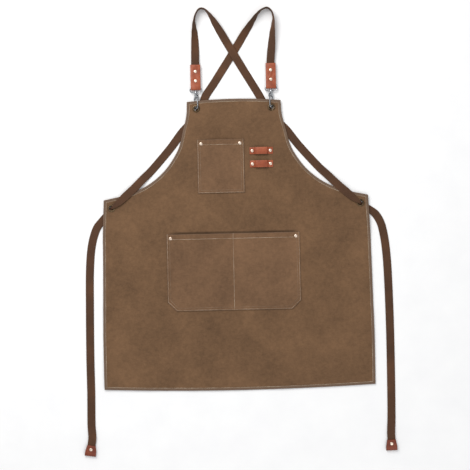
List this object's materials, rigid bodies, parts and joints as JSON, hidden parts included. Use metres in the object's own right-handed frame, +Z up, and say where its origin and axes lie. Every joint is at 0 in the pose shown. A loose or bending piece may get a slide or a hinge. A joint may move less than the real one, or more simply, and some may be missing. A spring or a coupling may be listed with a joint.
{
  "type": "butcher apron",
  "caption": "Cross-back canvas work apron laid flat, with bib and skirt pockets, leather tool loops, webbing straps on swivel snap hooks, and long waist ties.",
  "frame": {"origin": "centre of the footprint of the apron as laid out, on the surface it lies on", "axes": "+Z up from the surface, +Y from the hem towards the bib and straps, +X to the wearer's left as the front is looked at from above"},
  "size_m": [0.7814, 1.1144, 0.0201],
  "materials": {
    "canvas": "waxed brown cotton canvas",
    "webbing": "dark brown cotton webbing",
    "leather": "smooth red-tan leather with a dark cut edge",
    "rivet_metal": "polished",
    "eyelet_brass": "antique, dark",
    "hook_nickel": "bright nickel plate"
  },
  "bodies": {
    "apron": {"apron_panel": "canvas", "bib_pocket": "canvas", "bib_pocket_rivet_left": "rivet_metal", "bib_pocket_rivet_right": "rivet_metal", "left_bib_eyelet": "eyelet_brass", "left_bib_washer": "eyelet_brass", "left_gate_pin": "hook_nickel", "left_gate_spring": "hook_nickel", "left_side_eyelet": "eyelet_brass", "left_side_washer": "eyelet_brass", "left_snap_hook": "hook_nickel", "left_strap": "webbing", "lower_loop_rivet_left": "rivet_metal", "lower_loop_rivet_right": "rivet_metal", "lower_tool_loop": "leather", "right_bib_eyelet": "eyelet_brass", "right_bib_washer": "eyelet_brass", "right_gate_pin": "hook_nickel", "right_gate_spring": "hook_nickel", "right_side_eyelet": "eyelet_brass", "right_side_washer": "eyelet_brass", "right_snap_hook": "hook_nickel", "right_strap": "webbing", "skirt_pocket": "canvas", "skirt_pocket_rivet_left": "rivet_metal", "skirt_pocket_rivet_right": "rivet_metal", "upper_loop_rivet_left": "rivet_metal", "upper_loop_rivet_right": "rivet_metal", "upper_tool_loop": "leather"},
    "left_gate": {"left_hook_gate": "hook_nickel"},
    "left_strap_clip": {"left_strap_end": "webbing", "left_strap_tab": "leather", "left_swivel_eye": "hook_nickel", "left_tab_rivet_lower": "rivet_metal", "left_tab_rivet_upper": "rivet_metal"},
    "left_waist_tie": {"left_tie": "webbing", "left_tie_tip": "leather", "left_tip_rivet": "rivet_metal"},
    "right_gate": {"right_hook_gate": "hook_nickel"},
    "right_strap_clip": {"right_strap_end": "webbing", "right_strap_tab": "leather", "right_swivel_eye": "hook_nickel", "right_tab_rivet_lower": "rivet_metal", "right_tab_rivet_upper": "rivet_metal"},
    "right_waist_tie": {"right_tie": "webbing", "right_tie_tip": "leather", "right_tip_rivet": "rivet_metal"}
  },
  "joints": [
    {"name": "left_swivel", "type": "hinge", "parent": "apron", "child": "left_strap_clip", "pos_m": [-0.09272, 0.346, 0.00573], "axis": [0, 1, 0], "range_deg": [-180, 180]},
    {"name": "left_gate_hinge", "type": "hinge", "parent": "apron", "child": "left_gate", "pos_m": [-0.08947, 0.337, 0.00898], "axis": [0.7071, 0, -0.7071], "range_deg": [0, 28], "stiffness_Nm_per_rad": 0.03, "springref_deg": -22.92},
    {"name": "left_tie_swing", "type": "hinge", "parent": "apron", "child": "left_waist_tie", "pos_m": [-0.30972, 0.063, 0.00137], "axis": [0, 0, -1], "range_deg": [0, 80]},
    {"name": "right_swivel", "type": "hinge", "parent": "apron", "child": "right_strap_clip", "pos_m": [0.09528, 0.346, 0.00573], "axis": [0, 1, 0], "range_deg": [-180, 180]},
    {"name": "right_gate_hinge", "type": "hinge", "parent": "apron", "child": "right_gate", "pos_m": [0.09202, 0.337, 0.00898], "axis": [0.7071, 0, 0.7071], "range_deg": [0, 28], "stiffness_Nm_per_rad": 0.03, "springref_deg": -22.92},
    {"name": "right_tie_swing", "type": "hinge", "parent": "apron", "child": "right_waist_tie", "pos_m": [0.31228, 0.063, 0.00137], "axis": [0, 0, 1], "range_deg": [0, 80]}
  ]
}
